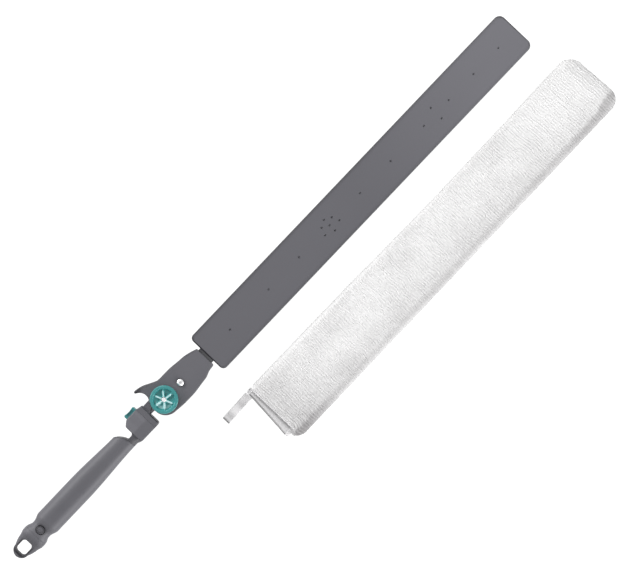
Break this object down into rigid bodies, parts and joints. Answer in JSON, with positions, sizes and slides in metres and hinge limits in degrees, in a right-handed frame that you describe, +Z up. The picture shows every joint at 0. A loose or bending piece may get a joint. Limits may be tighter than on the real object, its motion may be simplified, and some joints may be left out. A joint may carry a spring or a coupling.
{
  "type": "flexible duster",
  "caption": "Flat flexible duster blade on a clamped tilting claw head with a quick-release grip, beside its white microfibre sleeve.",
  "frame": {"origin": "centre of the whole object's box, on the surface that it lies on", "axes": "+X along the wand from butt to blade tip, +Y to the claw's side, +Z up, square to the blade's flat face"},
  "size_m": [0.8992, 0.1832, 0.0408],
  "materials": {
    "grey_plastic": "satin grey moulding",
    "dark_plastic": "satin dark grey moulding",
    "teal_plastic": "satin teal moulding",
    "strip_metal": "plain dark strip",
    "friction_lining": "matt",
    "bright_steel": "plated",
    "spring_steel": "drawn wire",
    "brass": "turned",
    "white_pile": "short white pile",
    "white_tape": "white woven tape"
  },
  "bodies": {
    "handle": {"grip": "grey_plastic", "hanger_cap": "grey_plastic", "snap_spring": "spring_steel", "socket_body": "grey_plastic", "release_spring": "spring_steel", "pivot_tongue": "grey_plastic", "friction_disc_front": "friction_lining", "friction_disc_rear": "friction_lining"},
    "head": {"head_front_cheek": "grey_plastic", "head_rear_cheek": "grey_plastic", "pivot_bolt": "bright_steel", "knob_washer": "bright_steel", "clamp_screw": "bright_steel", "clamp_nut": "bright_steel", "blade_section_1": "grey_plastic", "core_strip_1": "strip_metal"},
    "knob": {"clamp_knob": "teal_plastic", "knob_nut": "brass"},
    "release_button": {"release_button": "teal_plastic"},
    "snap_button": {"snap_button": "dark_plastic"},
    "blade_2": {"blade_section_2": "grey_plastic", "core_strip_2": "strip_metal"},
    "blade_3": {"blade_section_3": "grey_plastic", "core_strip_3": "strip_metal"},
    "blade_4": {"blade_section_4": "grey_plastic", "core_strip_4": "strip_metal"},
    "blade_5": {"blade_section_5": "grey_plastic", "core_strip_5": "strip_metal"},
    "blade_6": {"blade_section_6": "grey_plastic", "core_strip_6": "strip_metal"},
    "sleeve": {"sleeve": "white_pile", "sleeve_hem": "white_tape", "sleeve_loop": "white_tape"}
  },
  "joints": [
    {"name": "head_tilt", "type": "hinge", "parent": "handle", "child": "head", "pos_m": [-0.19014, 0.05891, 0.018], "axis": [0, 0, 1], "range_deg": [-90, 20]},
    {"name": "knob_turn", "type": "hinge", "parent": "head", "child": "knob", "pos_m": [-0.19014, 0.05891, 0.018], "axis": [0, 0, 1], "range_deg": [0, 360]},
    {"name": "release_press", "type": "slide", "parent": "handle", "child": "release_button", "axis": [0, -1, 0], "range_m": [0, 0.0035], "stiffness_N_per_m": 600, "springref_m": -0.003, "deforming": ["release_spring"]},
    {"name": "snap_press", "type": "slide", "parent": "handle", "child": "snap_button", "axis": [0, 0, -1], "range_m": [0, 0.0025], "stiffness_N_per_m": 800, "springref_m": -0.003, "deforming": ["snap_spring"]},
    {"name": "blade_bend_1", "type": "hinge", "parent": "head", "child": "blade_2", "pos_m": [-0.04954, 0.05891, 0.018], "axis": [0, -1, 0], "range_deg": [-15, 15]},
    {"name": "blade_bend_2", "type": "hinge", "parent": "blade_2", "child": "blade_3", "pos_m": [0.03626, 0.05891, 0.018], "axis": [0, -1, 0], "range_deg": [-15, 15]},
    {"name": "blade_bend_3", "type": "hinge", "parent": "blade_3", "child": "blade_4", "pos_m": [0.12206, 0.05891, 0.018], "axis": [0, -1, 0], "range_deg": [-15, 15]},
    {"name": "blade_bend_4", "type": "hinge", "parent": "blade_4", "child": "blade_5", "pos_m": [0.20786, 0.05891, 0.018], "axis": [0, -1, 0], "range_deg": [-15, 15]},
    {"name": "blade_bend_5", "type": "hinge", "parent": "blade_5", "child": "blade_6", "pos_m": [0.29366, 0.05891, 0.018], "axis": [0, -1, 0], "range_deg": [-15, 15]},
    {"name": "sleeve_slide", "type": "slide", "parent": "handle", "child": "sleeve", "axis": [1, 0, 0], "range_m": [0, 0.6]}
  ],
  "couplings": [
    {"joint": "blade_bend_2", "follows": "blade_bend_1", "ratio": 1},
    {"joint": "blade_bend_3", "follows": "blade_bend_1", "ratio": 1},
    {"joint": "blade_bend_4", "follows": "blade_bend_1", "ratio": 1},
    {"joint": "blade_bend_5", "follows": "blade_bend_1", "ratio": 1}
  ]
}
